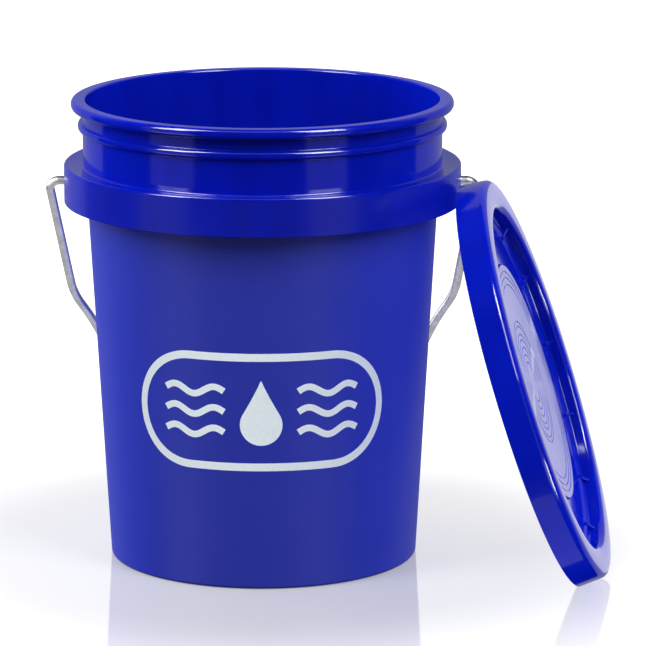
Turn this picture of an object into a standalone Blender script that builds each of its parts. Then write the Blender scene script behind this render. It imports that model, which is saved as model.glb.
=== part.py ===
"""Wash bucket: a moulded pail with its steel bail, a roller grip, a press-on lid and the lid's gasket.

Lengths are in metres and +Z is up. The pail stands upright, the bail hangs down behind it (+Y), and
the lid leans on the bail's right-hand shoulder (+X), standing on its edge. Everything is modelled
about the pail's own axis; the last step moves the whole set so that the middle of its bounding
box's underside is the world origin.
"""

import bpy
from math import cos, pi, radians, sin, tan
from mathutils import Matrix, Vector

# Pail. Radii are from its axis, heights from the floor.
PAIL_HEIGHT = 0.368
WALL = 0.0023
BASE_THICKNESS = 0.0028
BASE_RECESS = 0.0024
FOOT_WIDTH = 0.0045
FOOT_RADIUS = 0.1221
TAPER = 0.0575  # gain in radius per metre of height
CORNER_RADIUS = 0.0025
INNER_CORNER_RADIUS = 0.005

MOUTH_RADIUS = 0.1397
NECK_RADIUS = MOUTH_RADIUS + WALL
RIM_RADIUS = 0.151
RIM_DEPTH = 0.008
RIM_ROUND = 0.0034
MOUTH_ROUND = 0.0016

RING_RADIUS = 0.1457
RING_MIDDLE = 0.3468
RING_DEPTH = 0.0065

SKIRT_RADIUS = 0.157
SKIRT_TOP = 0.3167
SKIRT_BOTTOM = 0.2863
SKIRT_WALL = 0.0020
SKIRT_ROUND = 0.0017
FLANGE_DISH = 0.0015
FLANGE_FILLET = 0.0012

GUSSETS = 20
GUSSET_THICKNESS = 0.0018
GUSSET_RISE = 0.003  # the gussets end this far above the skirt's lower edge

# Bail ears: bosses on the skirt's inner face, on the X axis.
EAR_HEIGHT = 0.3014
EAR_RADIUS = 0.008
EAR_INNER_END = 0.149
EAR_BORE_RADIUS = 0.0039

# Bail. "Reach" is measured from the ears' axis, in the bail's own plane.
WIRE_RADIUS = 0.0035
HEAD_RADIUS = 0.0056
HEAD_THICKNESS = 0.0026
HEAD_CLEARANCE = 0.0008
SHOULDER_HALF_WIDTH = 0.1685
SHOULDER_BEND = 0.008
LEG_SLANT_DEG = 6.8
LEG_REACH = 0.112
KNEE_BEND = 0.075
KNEE_SLANT_DEG = 27
LOOP_FULLNESS = 0.52
BAIL_REACH = 0.2590
BAIL_DROP_DEG = 57.5  # how far the bail hangs below the horizontal at rest

# Roller grip.
GRIP_HALF_LENGTH = 0.0455
GRIP_RADIUS = 0.0115
GRIP_END_RADIUS = 0.0125
GRIP_BORE_RADIUS = 0.0042
GRIP_END_WIDTH = 0.004
GRIP_EDGE = 0.0012
GRIP_GROOVES = 6
GRIP_GROOVE_DEPTH = 0.0009
STRAIGHT_HALF_LENGTH = 0.050

# Lid. Heights are from its lower edge, along its own axis.
LID_EDGE_RADIUS = 0.163
LID_CROWN_RADIUS = 0.161
LID_HEIGHT = 0.024
LID_WALL = 0.0023
LID_CROWN_ROUND = 0.0055
LID_RECESS_RADIUS = 0.137
LID_RECESS_ROUND = 0.0048
LID_FLOOR = 0.010
LID_FLOOR_THICKNESS = 0.0021
LID_STEP_RADIUS = 0.1300
LID_STEP_RISE = 0.0014
LID_DISC_RADIUS = 0.0955
LID_DISC_RISE = 0.002
LID_DISC_DISH = 0.0025  # how far the disc's middle is below its edge
SNAP_INNER_RADIUS = 0.1516
SNAP_WALL = 0.002
SNAP_DEPTH = 0.0135
SNAP_BEAD = 0.0009
LID_GUSSETS = 14
LID_GUSSET_THICKNESS = 0.0024
LID_GUSSET_RUN = 0.008
LID_GUSSET_RISE = 0.0065

GASKET_THICKNESS = 0.0026
MESH_GAP = 0.0003
MESH_OVERLAP = 0.001

# The leaning lid: how far its face is tilted back from upright, which way it faces, where its
# centre is, and where it goes when it is lifted away.
LID_TILT_DEG = 18.2
LID_TURN_DEG = -6.4
LID_CENTRE_X = 0.2026
LID_CENTRE_Y = -0.0856

TURN_STEPS = 48
SMALL_TURN_STEPS = 20
DISH_STEPS = 4
CUT_MARGIN = 0.004

PLASTIC_BLUE = (0.008, 0.020, 0.440, 1.0)
STEEL_GREY = (0.520, 0.530, 0.520, 1.0)
RUBBER_GREY = (0.040, 0.040, 0.045, 1.0)


def clear_scene():
    for obj in list(bpy.data.objects):
        bpy.data.objects.remove(obj)


def new_collection(name):
    collection = bpy.data.collections.new(name)
    bpy.context.scene.collection.children.link(collection)
    return collection


def make_material(name, colour, roughness, metallic=0.0):
    material = bpy.data.materials.new(name)
    material.use_nodes = True
    shader = material.node_tree.nodes["Principled BSDF"]
    shader.inputs["Base Color"].default_value = colour
    shader.inputs["Roughness"].default_value = roughness
    shader.inputs["Metallic"].default_value = metallic
    return material


def arc(centre, radius, start_deg, end_deg, steps):
    """Points on a circular arc in the (radius, height) plane, both ends included."""
    points = []
    for i in range(steps + 1):
        angle = radians(start_deg + (end_deg - start_deg) * i / steps)
        points.append((centre[0] + radius * cos(angle), centre[1] + radius * sin(angle)))
    return points


def add_object(name, data, parent, collection, material=None):
    obj = bpy.data.objects.new(name, data)
    collection.objects.link(obj)
    obj.parent = parent
    if material:
        data.materials.append(material)
    return obj


def add_empty(name, parent, collection, matrix=Matrix()):
    empty = add_object(name, None, parent, collection)
    empty.matrix_local = matrix
    return empty


def turned(name, outline, steps, parent, collection, material):
    """A (radius, height) outline turned about Z. It runs down its outer side, and it is a closed loop
    unless it starts on the axis."""
    mesh = bpy.data.meshes.new(name)
    vertices = [(radius, 0.0, height) for radius, height in outline]
    edges = [(i, i + 1) for i in range(len(vertices) - 1)]
    if outline[0][0] > 0:
        edges.append((len(vertices) - 1, 0))
    mesh.from_pydata(vertices, edges, [])
    obj = add_object(name, mesh, parent, collection, material)
    screw = obj.modifiers.new("turn", "SCREW")
    screw.steps = steps
    screw.render_steps = steps
    screw.use_merge_vertices = True
    screw.merge_threshold = 1e-5
    screw.use_smooth_shade = True
    return obj


def box(name, low, high, matrix, parent, collection):
    """A box between two corners, placed by a matrix and kept out of the render."""
    bpy.ops.mesh.primitive_cube_add(size=1.0)
    obj = bpy.context.object
    obj.name = name
    low, high = Vector(low), Vector(high)
    size = high - low
    obj.data.transform(Matrix.Translation((low + high) / 2) @ Matrix.Diagonal((*size, 1.0)))
    return as_helper(obj, matrix, parent, collection)


def rod(name, radius, start_x, end_x, height, parent, collection):
    """A cylinder along X at the given height, kept out of the render."""
    bpy.ops.mesh.primitive_cylinder_add(vertices=24, radius=radius, depth=abs(end_x - start_x))
    obj = bpy.context.object
    obj.name = name
    middle = Matrix.Translation(((start_x + end_x) / 2, 0, height))
    return as_helper(obj, middle @ Matrix.Rotation(pi / 2, 4, "Y"), parent, collection)


def as_helper(obj, matrix, parent, collection):
    for other in list(obj.users_collection):
        other.objects.unlink(obj)
    collection.objects.link(obj)
    obj.parent = parent
    obj.matrix_local = matrix
    obj.hide_render = True
    obj.display_type = "WIRE"
    return obj


def combine(target, helper, operation):
    boolean = target.modifiers.new(helper.name, "BOOLEAN")
    boolean.operation = operation
    boolean.object = helper


def pail_radius(height):
    """The outer radius of the tapered wall."""
    return FOOT_RADIUS + TAPER * height


def pail_outline():
    """The pail's section, from the middle of its floor up the inside, then down the outside."""
    rim_bottom = PAIL_HEIGHT - RIM_DEPTH
    rim_centre = RIM_RADIUS - RIM_ROUND
    rim = arc((rim_centre, PAIL_HEIGHT - RIM_ROUND), RIM_ROUND, 90, 0, 4)
    rim += arc((rim_centre, rim_bottom + RIM_ROUND), RIM_ROUND, 0, -90, 4)
    rim.append((NECK_RADIUS, rim_bottom))

    ring_out = RING_RADIUS - NECK_RADIUS
    ring = [(NECK_RADIUS, RING_MIDDLE + RING_DEPTH / 2)]
    for angle in (60, 30, 0, -30, -60):
        height = RING_MIDDLE + RING_DEPTH / 2 * sin(radians(angle))
        ring.append((NECK_RADIUS + ring_out * cos(radians(angle)), height))
    ring.append((NECK_RADIUS, RING_MIDDLE - RING_DEPTH / 2))

    flange_root = SKIRT_TOP - FLANGE_DISH
    fillet_centre = (NECK_RADIUS + FLANGE_FILLET, flange_root + FLANGE_FILLET)
    flange = arc(fillet_centre, FLANGE_FILLET, 180, 270, 2)
    flange += arc((SKIRT_RADIUS - SKIRT_ROUND, SKIRT_TOP - SKIRT_ROUND), SKIRT_ROUND, 90, 0, 3)
    skirt_inside = SKIRT_RADIUS - SKIRT_WALL
    skirt = [(SKIRT_RADIUS, SKIRT_BOTTOM), (skirt_inside, SKIRT_BOTTOM)]
    skirt.append((skirt_inside, SKIRT_TOP - SKIRT_WALL - FLANGE_DISH))
    shoulder = flange_root - SKIRT_WALL
    skirt.append((NECK_RADIUS, shoulder - FLANGE_DISH))

    side = [(pail_radius(SKIRT_BOTTOM), SKIRT_BOTTOM)]
    corner_centre = (pail_radius(CORNER_RADIUS) - CORNER_RADIUS, CORNER_RADIUS)
    side += arc(corner_centre, CORNER_RADIUS, 0, -90, 3)
    foot_inside = FOOT_RADIUS - CORNER_RADIUS - FOOT_WIDTH
    under = [(foot_inside, 0.0), (foot_inside - BASE_RECESS, BASE_RECESS), (0.0, BASE_RECESS)]

    floor = BASE_RECESS + BASE_THICKNESS
    inner_centre_height = floor + INNER_CORNER_RADIUS
    inner_centre = (pail_radius(inner_centre_height) - WALL - INNER_CORNER_RADIUS, inner_centre_height)
    inside = [(0.0, floor)]
    inside += arc(inner_centre, INNER_CORNER_RADIUS, -90, 0, 4)
    inside.append((pail_radius(SKIRT_BOTTOM) - WALL, SKIRT_BOTTOM))
    inside.append((MOUTH_RADIUS, shoulder - FLANGE_DISH))
    inside += arc((MOUTH_RADIUS + MOUTH_ROUND, PAIL_HEIGHT - MOUTH_ROUND), MOUTH_ROUND, 180, 90, 3)
    return inside + rim + ring + flange + skirt + side + under


def add_gussets(pail, root, helpers):
    """Thin radial webs between the pail's wall and its skirt, with each bail ear midway between two."""
    bottom = SKIRT_BOTTOM + GUSSET_RISE
    top = SKIRT_TOP - FLANGE_DISH - SKIRT_WALL / 2
    low = Vector((pail_radius(bottom) - WALL / 2, -GUSSET_THICKNESS / 2, bottom))
    high = Vector((SKIRT_RADIUS - SKIRT_WALL / 2, GUSSET_THICKNESS / 2, top))
    for i in range(GUSSETS):
        turn = Matrix.Rotation(2 * pi * (i + 0.5) / GUSSETS, 4, "Z")
        web = box(f"pail_gusset_{i + 1}", low, high, turn, root, helpers)
        for vertex in web.data.vertices:
            if vertex.co.z > bottom + MESH_OVERLAP and vertex.co.x < NECK_RADIUS:
                vertex.co.x = NECK_RADIUS - WALL / 2
        combine(pail, web, "UNION")


def add_ears(pail, root, helpers):
    for side, label in ((1, "right"), (-1, "left")):
        outer_end = SKIRT_RADIUS - SKIRT_WALL / 2
        start, end = side * EAR_INNER_END, side * outer_end
        boss = rod(f"ear_boss_{label}", EAR_RADIUS, start, end, EAR_HEIGHT, root, helpers)
        combine(pail, boss, "UNION")
        start, end = side * (EAR_INNER_END - CUT_MARGIN), side * (SKIRT_RADIUS + CUT_MARGIN)
        bore = rod(f"ear_bore_{label}", EAR_BORE_RADIUS, start, end, EAR_HEIGHT, root, helpers)
        combine(pail, bore, "DIFFERENCE")


def make_pail(root, parts, helpers, material):
    pail = turned("bucket_body", pail_outline(), TURN_STEPS, root, parts, material)
    add_gussets(pail, root, helpers)
    add_ears(pail, root, helpers)
    return pail


def bezier(points, steps):
    """Points on a cubic curve, without its first point."""
    a, b, c, d = points
    curve = []
    for i in range(1, steps + 1):
        t = i / steps
        s = 1 - t
        curve.append(tuple(a * s**3 + b * (3 * s * s * t) + c * (3 * s * t * t) + d * t**3))
    return curve


def bail_half_path():
    """(half width, reach) along the wire, from the ear to the end of the straight under the grip."""
    bend_centre = (SHOULDER_HALF_WIDTH - SHOULDER_BEND, SHOULDER_BEND)
    shoulder = arc(bend_centre, SHOULDER_BEND, -90, LEG_SLANT_DEG, 5)

    leg_start = Vector(shoulder[-1])
    leg_width = leg_start.x - (LEG_REACH - leg_start.y) * tan(radians(LEG_SLANT_DEG))
    leg_end = Vector((leg_width, LEG_REACH))
    leg = [tuple(leg_start.lerp(leg_end, i / 4)) for i in range(1, 4)]

    slant = radians(LEG_SLANT_DEG)
    knee_centre = leg_end - KNEE_BEND * Vector((cos(slant), sin(slant)))
    knee = arc(knee_centre, KNEE_BEND, LEG_SLANT_DEG, KNEE_SLANT_DEG, 4)

    knee_end = Vector(knee[-1])
    slant = radians(KNEE_SLANT_DEG)
    grip_end = Vector((STRAIGHT_HALF_LENGTH, BAIL_REACH))
    pull = LOOP_FULLNESS * (knee_end - grip_end).length
    towards_grip = pull * Vector((-sin(slant), cos(slant)))
    outwards = pull * Vector((1, 0))
    loop = bezier((knee_end, knee_end + towards_grip, grip_end + outwards, grip_end), 12)
    return shoulder + leg + knee + loop


def make_bail(pivot, parts, material):
    """The wire lies in the pivot's XZ plane and reaches down along -Z. Its upset heads sit between
    the ears' bosses and the pail's wall."""
    head_end = EAR_INNER_END - HEAD_CLEARANCE
    head_scale = HEAD_RADIUS / WIRE_RADIUS
    right = [(head_end - HEAD_THICKNESS, 0.0, 0.0, head_scale), (head_end, 0.0, 0.0, head_scale)]
    right.append((head_end + MESH_GAP, 0.0, 0.0, 1.0))
    right += [(width, 0.0, -reach, 1.0) for width, reach in bail_half_path()]
    left = [(-x, y, z, scale) for x, y, z, scale in reversed(right)]
    points = right + left

    curve = bpy.data.curves.new("bail_wire", "CURVE")
    curve.dimensions = "3D"
    curve.bevel_depth = WIRE_RADIUS
    curve.bevel_resolution = 2
    curve.use_fill_caps = True
    spline = curve.splines.new("POLY")
    spline.points.add(len(points) - 1)
    for target, (x, y, z, scale) in zip(spline.points, points):
        target.co = (x, y, z, 1.0)
        target.radius = scale
    return add_object("bail_wire", curve, pivot, parts, material)


def grip_outline():
    """A spool: plain ends, and shallow grooves between raised bands."""
    body_half = GRIP_HALF_LENGTH - GRIP_END_WIDTH
    pitch = 2 * body_half / GRIP_GROOVES
    outline = [(GRIP_END_RADIUS - GRIP_EDGE, GRIP_HALF_LENGTH)]
    outline += [(GRIP_END_RADIUS, GRIP_HALF_LENGTH - GRIP_EDGE), (GRIP_END_RADIUS, body_half)]
    for i in range(GRIP_GROOVES):
        top = body_half - i * pitch
        outline.append((GRIP_RADIUS - GRIP_GROOVE_DEPTH, top - 0.15 * pitch))
        outline.append((GRIP_RADIUS, top - 0.3 * pitch))
        outline.append((GRIP_RADIUS, top - 0.7 * pitch))
        outline.append((GRIP_RADIUS - GRIP_GROOVE_DEPTH, top - 0.85 * pitch))
    outline += [(GRIP_END_RADIUS, -body_half), (GRIP_END_RADIUS, GRIP_EDGE - GRIP_HALF_LENGTH)]
    outline.append((GRIP_END_RADIUS - GRIP_EDGE, -GRIP_HALF_LENGTH))
    outline += [(GRIP_BORE_RADIUS, -GRIP_HALF_LENGTH), (GRIP_BORE_RADIUS, GRIP_HALF_LENGTH)]
    return outline


def make_grip(spindle, parts, material):
    return turned("bail_grip", grip_outline(), SMALL_TURN_STEPS, spindle, parts, material)


def dished(disc_radius, edge_height, steps):
    """Points on a shallow dish, from its middle out to its edge."""
    points = []
    for i in range(steps + 1):
        share = i / steps
        points.append((share * disc_radius, edge_height - LID_DISC_DISH * (1 - share * share)))
    return points


def lid_outline():
    """The lid's section: from the middle of its panel out to the recess wall, over the crown, down
    the outer wall, round the channel that holds the pail's rim, and back under the panel."""
    disc = LID_FLOOR + LID_DISC_RISE
    step = LID_FLOOR + LID_STEP_RISE
    top = dished(LID_DISC_RADIUS - LID_DISC_RISE, disc, DISH_STEPS) + [(LID_DISC_RADIUS, LID_FLOOR)]
    top += [(LID_STEP_RADIUS, LID_FLOOR), (LID_STEP_RADIUS + LID_STEP_RISE, step)]
    top.append((LID_RECESS_RADIUS, step))
    inner_centre = (LID_RECESS_RADIUS + LID_RECESS_ROUND, LID_HEIGHT - LID_RECESS_ROUND)
    top += arc(inner_centre, LID_RECESS_ROUND, 180, 90, 4)

    outer_centre = (LID_CROWN_RADIUS - LID_CROWN_ROUND, LID_HEIGHT - LID_CROWN_ROUND)
    outside = arc(outer_centre, LID_CROWN_ROUND, 90, 0, 4)
    outside += [(LID_EDGE_RADIUS, 0.0), (LID_EDGE_RADIUS - LID_WALL, 0.0)]

    channel = arc(outer_centre, LID_CROWN_ROUND - LID_WALL, 0, 90, 3)
    ceiling = LID_HEIGHT - LID_WALL
    snap_outer = SNAP_INNER_RADIUS + SNAP_WALL
    snap_end = ceiling - SNAP_DEPTH
    channel += [(snap_outer, ceiling), (snap_outer, snap_end), (SNAP_INNER_RADIUS, snap_end)]
    channel.append((SNAP_INNER_RADIUS - SNAP_BEAD, snap_end + SNAP_BEAD))
    channel.append((SNAP_INNER_RADIUS, snap_end + 2 * SNAP_BEAD))
    channel.append((SNAP_INNER_RADIUS, ceiling))
    plug_outer = LID_RECESS_RADIUS + LID_WALL
    underside = LID_FLOOR - LID_FLOOR_THICKNESS
    channel += [(plug_outer, ceiling), (plug_outer, underside)]
    under_disc = LID_DISC_RADIUS - LID_FLOOR_THICKNESS
    under_dish = dished(under_disc - LID_DISC_RISE, underside + LID_DISC_RISE, DISH_STEPS)
    return top + outside + channel + [(under_disc, underside)] + under_dish[::-1]


def add_lid_gussets(lid, lid_pose, helpers):
    """Small wedges at the foot of the recess wall."""
    half = LID_GUSSET_THICKNESS / 2
    low = Vector((LID_RECESS_RADIUS - LID_GUSSET_RUN, -half, LID_FLOOR - MESH_OVERLAP))
    high = Vector((LID_RECESS_RADIUS + LID_WALL / 2, half, LID_FLOOR + LID_GUSSET_RISE))
    for i in range(LID_GUSSETS):
        turn = Matrix.Rotation(2 * pi * (i + 0.5) / LID_GUSSETS, 4, "Z")
        wedge = box(f"lid_gusset_{i + 1}", low, high, turn, lid_pose, helpers)
        for vertex in wedge.data.vertices:
            if vertex.co.x < LID_RECESS_RADIUS - LID_GUSSET_RUN / 2 and vertex.co.z > LID_FLOOR:
                vertex.co.z = LID_FLOOR + LID_STEP_RISE
        combine(lid, wedge, "UNION")


def make_lid(lid_pose, parts, helpers, material):
    lid = turned("lid", lid_outline(), TURN_STEPS, lid_pose, parts, material)
    add_lid_gussets(lid, lid_pose, helpers)
    return lid


def make_gasket(lid_pose, parts, material):
    """A flat ring against the channel's ceiling, between the plug wall and the snap wall."""
    inner = LID_RECESS_RADIUS + LID_WALL + 2 * MESH_GAP
    outer = SNAP_INNER_RADIUS - 2 * MESH_GAP
    top = LID_HEIGHT - LID_WALL - MESH_GAP
    bottom = top - GASKET_THICKNESS
    outline = [(outer, top), (outer, bottom), (inner, bottom), (inner, top)]
    return turned("lid_gasket", outline, TURN_STEPS, lid_pose, parts, material)


def lid_matrix():
    """The lid's own axis points out of its face. It stands on the lowest point of its edge."""
    tilt = radians(LID_TILT_DEG)
    centre = Matrix.Translation((LID_CENTRE_X, LID_CENTRE_Y, LID_EDGE_RADIUS * cos(tilt)))
    turn = Matrix.Rotation(radians(LID_TURN_DEG), 4, "Z")
    return centre @ turn @ Matrix.Rotation(pi / 2 - tilt, 4, "Y")


def world_points(obj):
    evaluated = obj.evaluated_get(bpy.context.evaluated_depsgraph_get())
    mesh = evaluated.to_mesh()
    points = [evaluated.matrix_world @ vertex.co for vertex in mesh.vertices]
    evaluated.to_mesh_clear()
    return points


def centre_over_origin(root, pieces):
    """Moves the set sideways until the middle of its bounding box is over the origin."""
    bpy.context.view_layer.update()
    points = [point for piece in pieces for point in world_points(piece)]
    for axis in (0, 1):
        values = [point[axis] for point in points]
        root.location[axis] = -(min(values) + max(values)) / 2


def main():
    clear_scene()
    parts = new_collection("wash_bucket")
    helpers = new_collection("cutters")
    blue = make_material("blue_plastic", PLASTIC_BLUE, 0.25)
    steel = make_material("galvanised_steel", STEEL_GREY, 0.35, 1.0)
    rubber = make_material("gasket_rubber", RUBBER_GREY, 0.7)

    root = add_empty("wash_bucket_root", None, parts)
    tilt_back = Matrix.Rotation(radians(90 - BAIL_DROP_DEG), 4, "X")
    pivot = add_empty("bail_pivot", root, parts, Matrix.Translation((0, 0, EAR_HEIGHT)) @ tilt_back)
    across = Matrix.Translation((0, 0, -BAIL_REACH)) @ Matrix.Rotation(pi / 2, 4, "Y")
    spindle = add_empty("grip_spindle", pivot, parts, across)
    lid_pose = add_empty("lid_pose", root, parts, lid_matrix())

    pieces = [
        make_pail(root, parts, helpers, blue),
        make_bail(pivot, parts, steel),
        make_grip(spindle, parts, blue),
        make_lid(lid_pose, parts, helpers, blue),
        make_gasket(lid_pose, parts, rubber),
    ]
    centre_over_origin(root, pieces)


main()
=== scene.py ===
"""Looks of the wash bucket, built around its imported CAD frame.

Each CAD node is replaced by a finer mesh with the same section: the pail, its bail and roller grip,
the lid and the lid's gasket. A printed emblem is added on the pail's front. Lengths are in metres.
Sections are lists of corners (radius, height, rounding) about the piece's own axis.
"""

from math import atan2, ceil, cos, pi, radians, sin, sqrt, tan

import bmesh
import bpy
from mathutils import Matrix, Vector

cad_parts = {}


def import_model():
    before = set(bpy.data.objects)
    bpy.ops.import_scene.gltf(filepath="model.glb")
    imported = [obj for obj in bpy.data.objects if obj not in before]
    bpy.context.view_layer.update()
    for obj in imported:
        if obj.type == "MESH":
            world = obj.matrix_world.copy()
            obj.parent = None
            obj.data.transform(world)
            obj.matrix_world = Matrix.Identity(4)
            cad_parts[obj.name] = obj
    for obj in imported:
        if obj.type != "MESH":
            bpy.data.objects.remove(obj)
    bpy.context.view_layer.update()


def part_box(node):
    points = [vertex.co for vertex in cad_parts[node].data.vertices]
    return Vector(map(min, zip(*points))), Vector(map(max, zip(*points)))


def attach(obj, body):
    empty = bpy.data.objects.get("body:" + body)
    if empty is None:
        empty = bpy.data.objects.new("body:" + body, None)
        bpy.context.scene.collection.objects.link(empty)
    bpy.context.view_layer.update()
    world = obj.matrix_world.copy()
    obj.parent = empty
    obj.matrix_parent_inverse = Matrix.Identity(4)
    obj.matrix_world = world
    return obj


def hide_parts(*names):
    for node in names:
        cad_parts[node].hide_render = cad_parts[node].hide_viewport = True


# Pail. Radii are from its axis, heights from the floor.
WALL = 0.0023
BASE_THICKNESS = 0.0028
BASE_RECESS = 0.0024
FOOT_WIDTH = 0.0045
FOOT_RADIUS = 0.1221
TAPER = 0.0575  # gain in radius per metre of height
CORNER_ROUND = 0.0025
INNER_CORNER_ROUND = 0.005
GATE_RADIUS = 0.005
GATE_HEIGHT = 0.0012
UNDER_RING_RADIUS = 0.062
UNDER_RING_STEP = 0.0007
MOUTH_RADIUS = 0.1397
NECK_RADIUS = MOUTH_RADIUS + WALL
RIM_RADIUS = 0.151
RIM_DEPTH = 0.008
RIM_ROUND = 0.0034
MOUTH_ROUND = 0.0016
RING_RADIUS = 0.1457
RING_MIDDLE = 0.3468
RING_DEPTH = 0.0065
RING_ROUND = 0.0027
SKIRT_TOP = 0.3167
SKIRT_BOTTOM = 0.2863
SKIRT_WALL = 0.0020
SKIRT_ROUND = 0.0017
FLANGE_DISH = 0.0015
FLANGE_FILLET = 0.0012
ROOT_FILLET = 0.0008
EDGE_ROUND = 0.0004
GUSSETS = 20
GUSSET_THICKNESS = 0.0018
GUSSET_RISE = 0.003

# Bail ears: bosses on the skirt's inner face, on the line of the bail's hinge.
EAR_HEIGHT = 0.3014
EAR_RADIUS = 0.008
EAR_INNER_END = 0.149
EAR_BORE_RADIUS = 0.0039

# Bail. "Reach" is measured from the ears' axis, in the bail's own plane.
WIRE_RADIUS = 0.0035
HEAD_RADIUS = 0.0056
HEAD_THICKNESS = 0.0026
HEAD_CLEARANCE = 0.0008
HEAD_ROUND = 0.0009
SHOULDER_HALF_WIDTH = 0.1685
SHOULDER_BEND = 0.008
LEG_SLANT_DEG = 6.8
LEG_REACH = 0.112
KNEE_BEND = 0.075
KNEE_SLANT_DEG = 27
LOOP_FULLNESS = 0.52
BAIL_REACH = 0.2590
BAIL_DROP_DEG = 57.5
STRAIGHT_HALF_LENGTH = 0.050

# Roller grip.
GRIP_HALF_LENGTH = 0.0455
GRIP_RADIUS = 0.0115
GRIP_END_RADIUS = 0.0125
GRIP_BORE_RADIUS = 0.0042
GRIP_END_WIDTH = 0.004
GRIP_GROOVES = 6
GRIP_GROOVE_DEPTH = 0.0009

# Lid. Heights are from its lower edge, along its own axis.
LID_EDGE_RADIUS = 0.163
LID_CROWN_RADIUS = 0.161
LID_HEIGHT = 0.024
LID_WALL = 0.0023
LID_CROWN_ROUND = 0.0055
LID_RECESS_RADIUS = 0.137
LID_RECESS_ROUND = 0.0048
LID_FLOOR = 0.010
LID_FLOOR_THICKNESS = 0.0021
LID_STEP_RADIUS = 0.1300
LID_STEP_RISE = 0.0014
LID_DISC_RADIUS = 0.0955
LID_DISC_RISE = 0.002
LID_DISC_DISH = 0.0025  # how far the disc's middle is below its edge
CROWN_FALL = 0.0018  # the crown is slightly domed, so its edges lie this much below its middle
CROWN_SWEEP = 0.045
LID_LINE_RADII = (0.016, 0.022, 0.028, 0.034, 0.0385, 0.045, 0.049, 0.0786, 0.084, 0.089)
LID_LINE_WIDTH = 0.0010
LID_LINE_DEPTH = 0.0005
SNAP_INNER_RADIUS = 0.1516
SNAP_WALL = 0.002
SNAP_DEPTH = 0.0135
SNAP_BEAD = 0.0009
LID_GUSSETS = 14
LID_GUSSET_THICKNESS = 0.0024
LID_GUSSET_RUN = 0.008
LID_GUSSET_RISE = 0.0065
GASKET_THICKNESS = 0.0026
GASKET_GAP = 0.0003

# The leaning lid, from the pail's axis.
LID_TILT_DEG = 18.2
LID_TURN_DEG = -6.4
LID_CENTRE_X = 0.2026
LID_CENTRE_Y = -0.0856

# Printed emblem: a water drop between waves, in an oval frame. "Across" runs round the pail.
EMBLEM_HEIGHT = 0.1435
EMBLEM_HALF_WIDTH = 0.101
EMBLEM_HALF_HEIGHT = 0.044
EMBLEM_STROKE = 0.0062
INK_RISE = 0.00012
INK_DEPTH = 0.0003
DROP_HALF_HEIGHT = 0.0265
DROP_RADIUS = 0.0165
WAVE_START = 0.029
WAVE_END = 0.078
WAVE_RISE = 0.0032
WAVE_STROKE = 0.0052
WAVE_PITCH = 0.0165

TURN_STEPS = 240
SMALL_TURN_STEPS = 64
TUBE_SIDES = 32
ARC_STEP_DEG = 11
SHARP_DEG = 34
CUT_MARGIN = 0.004
OVERLAP = 0.001
SLIVER = 0.00001

# Camera, from the pail's axis.
CAMERA_PLACE = (0.0477, -3.5, 0.959)
CAMERA_PITCH_DEG = 12.46
CAMERA_FIELD_DEG = 8.214

# Studio. Azimuths are round the pail's axis: 0 is towards the camera, 90 to its right-hand side.
# A radiance of 1 is white.
LEFT_AZIMUTHS = (-74, -43)
RIGHT_AZIMUTHS = (28, 55)
BACK_AZIMUTHS = (115, 238)
BACKDROP_DISTANCE = 9.0
BACKDROP_HEIGHTS = (-6.0, 9.0)
BACKDROP_RADIANCE = 0.30
CARD_DISTANCE = 5.0
CARD_HEIGHTS = (-1.5, 2.0)
CARD_RADIANCE = 0.30
MIRRORED_HEIGHTS = (-3.4, -1.5)
MIRRORED_RADIANCE = 2.0
CARD_STEPS = 24
WORLD_RADIANCE = 0.30
TOP_PLACE = (-0.7, 0.9, 2.4)
TOP_SIZE = (2.4, 1.6)
TOP_RADIANCE = 2.2
AIM_HEIGHT = 0.25
SOFTBOX_DISTANCE = 2.4
SOFTBOX_RISE = 2.3
SOFTBOX_SIZE = (1.15, 2.2)
SOFTBOX_RADIANCE = 8.5
GLINT_RADIANCE = 12.0
EDGE_LIGHTS = {"left_edge": (-116, 8.0), "right_edge": (94, 3.6)}  # azimuth, radiance
EDGE_DISTANCE = 3.0
EDGE_RISE = 0.9
EDGE_SIZE = (2.2, 2.0)
STREAK_SIZE = (0.6, 0.8)
STREAK_RADIANCE = 24.0
FLOOR_RADIUS = 12
FLOOR_DROP = 0.0003
FLOOR_COLOUR = (0.385, 0.385, 0.415)
FLOOR_ROUGHNESS = 0.06
FLOOR_IOR = 1.5
FLOOR_FADE = (0.20, 0.5, 0.25, 0.85)  # distances from the pail, and the glow at them
DOME_RADIUS = 14


# ---- Meshes -----------------------------------------------------------------------------------


def fillet(before, corner, after, radius):
    """Points on the arc that rounds off a corner."""
    back = (before - corner).normalized()
    ahead = (after - corner).normalized()
    half = back.angle(ahead) / 2
    centre = corner + (back + ahead).normalized() * radius / sin(half)
    start = corner + back * radius / tan(half) - centre
    end = corner + ahead * radius / tan(half) - centre
    turn = pi - 2 * half
    if start.cross(end) < 0:
        turn = -turn
    steps = max(2, ceil(abs(turn) / radians(ARC_STEP_DEG)))
    first = atan2(start.y, start.x)
    angles = [first + turn * i / steps for i in range(steps + 1)]
    return [centre + radius * Vector((cos(a), sin(a))) for a in angles]


def rounded(corners):
    """An outline of (x, y) points from corners (x, y, rounding). Its two ends aren't rounded."""
    points = []
    for i, (x, y, radius) in enumerate(corners):
        here = Vector((x, y))
        if radius == 0 or i in (0, len(corners) - 1):
            points.append(here)
            continue
        before, after = Vector(corners[i - 1][:2]), Vector(corners[i + 1][:2])
        points += fillet(before, here, after, radius)
    return points


def link(name, mesh, material):
    mesh.materials.append(material)
    obj = bpy.data.objects.new(name, mesh)
    bpy.context.scene.collection.objects.link(obj)
    return obj


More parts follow.
